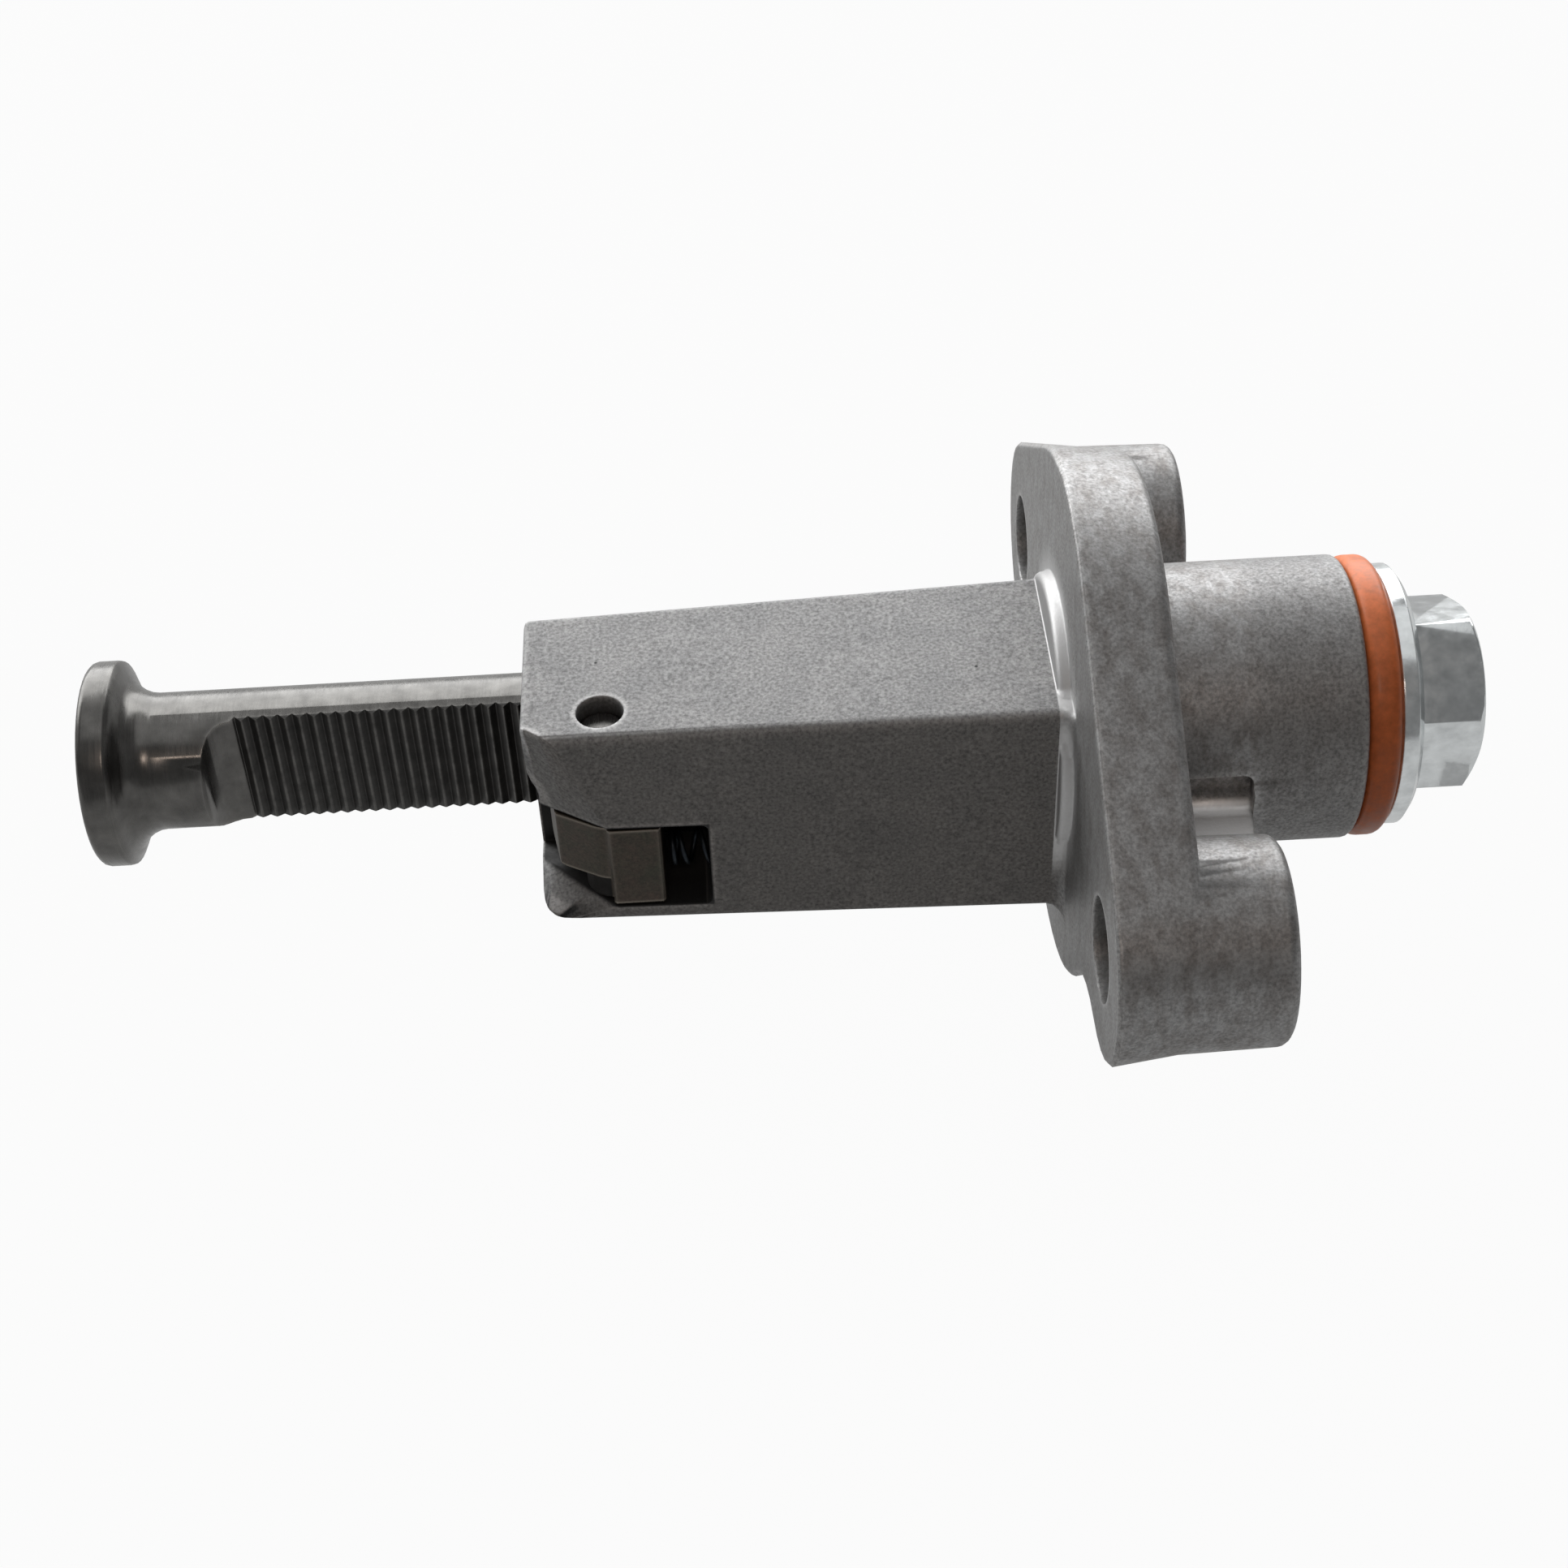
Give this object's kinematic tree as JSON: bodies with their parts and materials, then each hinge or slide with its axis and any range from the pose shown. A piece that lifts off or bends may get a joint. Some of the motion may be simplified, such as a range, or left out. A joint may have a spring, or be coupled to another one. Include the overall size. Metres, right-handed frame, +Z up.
{
  "type": "timing chain tensioner",
  "caption": "Ratchet chain tensioner: flanged die-cast housing with a sprung toothed plunger, a pivoting pawl in a side window, and a hex plug bolt with a sealing ring",
  "frame": {"origin": "on the plunger's axis, in the plane of the flange's mounting face", "axes": "+X along the plunger from its pad toward the hex plug, -Y out of the front face with the pawl's window, +Z up out of the face with the pivot pin"},
  "size_m": [0.0962, 0.058, 0.0374],
  "materials": {
    "die_cast_aluminium": "fine blasted as-cast skin, with a turned flange face",
    "hardened_steel": "dark hardened steel, satin",
    "sintered_steel": "dark brownish sintered steel, dull",
    "spring_steel": "dark oiled spring wire",
    "zinc_plated_steel": "bright zinc plating, slightly hazy",
    "orange_silicone": "orange moulded rubber, semi-matt"
  },
  "bodies": {
    "housing": {"housing": "die_cast_aluminium", "pawl_pin": "hardened_steel", "plug_bolt": "zinc_plated_steel", "sealing_ring": "orange_silicone", "main_spring": "spring_steel", "pawl_spring": "spring_steel"},
    "plunger": {"plunger": "hardened_steel"},
    "pawl": {"pawl": "sintered_steel"}
  },
  "joints": [
    {"name": "plunger_slide", "type": "slide", "parent": "housing", "child": "plunger", "axis": [1, 0, 0], "range_m": [0, 0.021], "stiffness_N_per_m": 600, "deforming": ["main_spring"]},
    {"name": "pawl_pivot", "type": "hinge", "parent": "housing", "child": "pawl", "pos_m": [-0.0316, -0.00483, 0], "axis": [0, 0, 1], "range_deg": [-12, 10], "stiffness_Nm_per_rad": 0.02, "deforming": ["pawl_spring"]}
  ]
}
